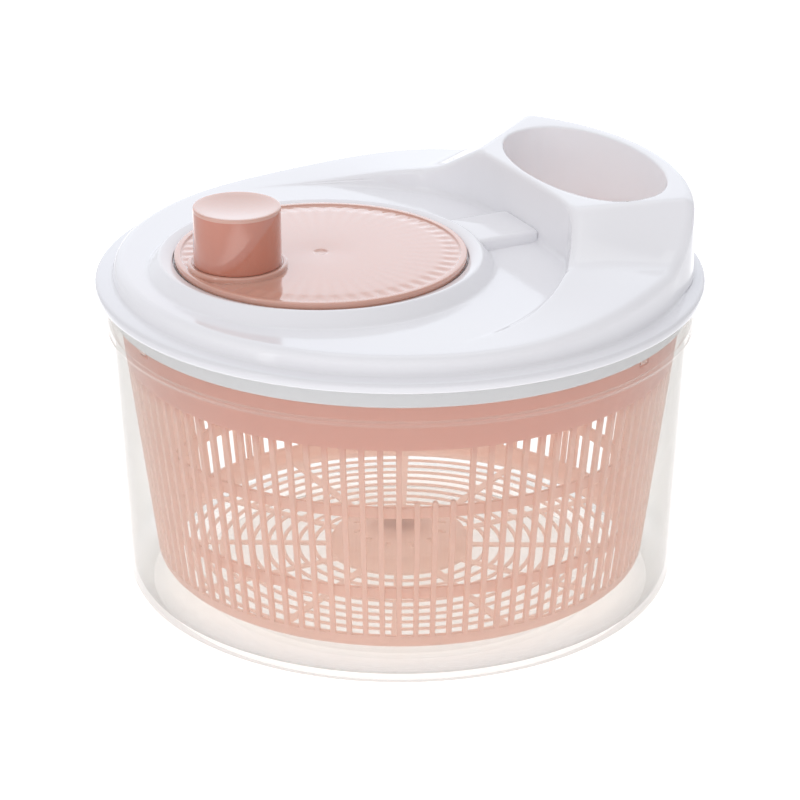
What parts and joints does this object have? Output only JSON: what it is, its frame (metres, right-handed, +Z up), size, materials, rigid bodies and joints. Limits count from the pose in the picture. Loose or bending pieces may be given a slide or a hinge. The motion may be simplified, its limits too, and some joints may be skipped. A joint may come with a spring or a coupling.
{
  "type": "salad spinner",
  "caption": "Round salad spinner: clear bowl, slotted basket that turns in it, and a white lid with a geared disc crank and a raised hump with a pouring opening.",
  "frame": {"origin": "centre of the bowl's base, on the axis that the basket turns about", "axes": "+Z up along the basket's axis, +X from the axis towards the hump with the pouring opening, crank disc towards -X"},
  "size_m": [0.25, 0.25, 0.175],
  "materials": {
    "clear_plastic": "clear gloss",
    "pink_translucent": "translucent satin",
    "pink_satin": "satin",
    "white_gloss": "gloss",
    "white_satin": "satin",
    "nylon": "natural",
    "steel": "zinc plated"
  },
  "bodies": {
    "bowl": {"outer_bowl": "clear_plastic"},
    "pivot": {"pivot_bush": "nylon"},
    "basket": {"basket": "pink_translucent"},
    "lid": {"lid_shell": "white_gloss", "gear_cover": "white_satin", "cover_screw_1": "steel", "cover_screw_2": "steel", "cover_screw_3": "steel", "cover_screw_4": "steel"},
    "crank": {"crank_disc": "pink_satin", "drive_gear": "nylon", "crank_washer": "steel", "crank_screw": "steel"},
    "knob": {"knob": "pink_satin", "knob_washer": "steel", "knob_screw": "steel"},
    "driver": {"pinion": "nylon", "driver": "white_satin", "driver_washer": "steel", "driver_screw": "steel"}
  },
  "joints": [
    {"name": "basket_lift", "type": "slide", "parent": "bowl", "child": "pivot", "axis": [0, 0, 1], "range_m": [0, 0.15]},
    {"name": "lid_lift", "type": "slide", "parent": "pivot", "child": "lid", "axis": [0, 0, 1], "range_m": [0, 0.15]},
    {"name": "basket_spin", "type": "hinge", "parent": "pivot", "child": "basket", "pos_m": [0, 0, 0.0163], "axis": [0, 0, 1], "continuous": true},
    {"name": "crank_spin", "type": "hinge", "parent": "lid", "child": "crank", "pos_m": [-0.036, 0, 0.148], "axis": [0, 0, 1], "continuous": true},
    {"name": "knob_spin", "type": "hinge", "parent": "crank", "child": "knob", "pos_m": [-0.073, 0, 0.1513], "axis": [0, 0, 1], "continuous": true},
    {"name": "driver_spin", "type": "hinge", "parent": "lid", "child": "driver", "pos_m": [0, 0, 0.134], "axis": [0, 0, 1], "continuous": true}
  ],
  "couplings": [
    {"joint": "driver_spin", "follows": "crank_spin", "ratio": -3},
    {"joint": "basket_spin", "follows": "crank_spin", "ratio": -3}
  ]
}
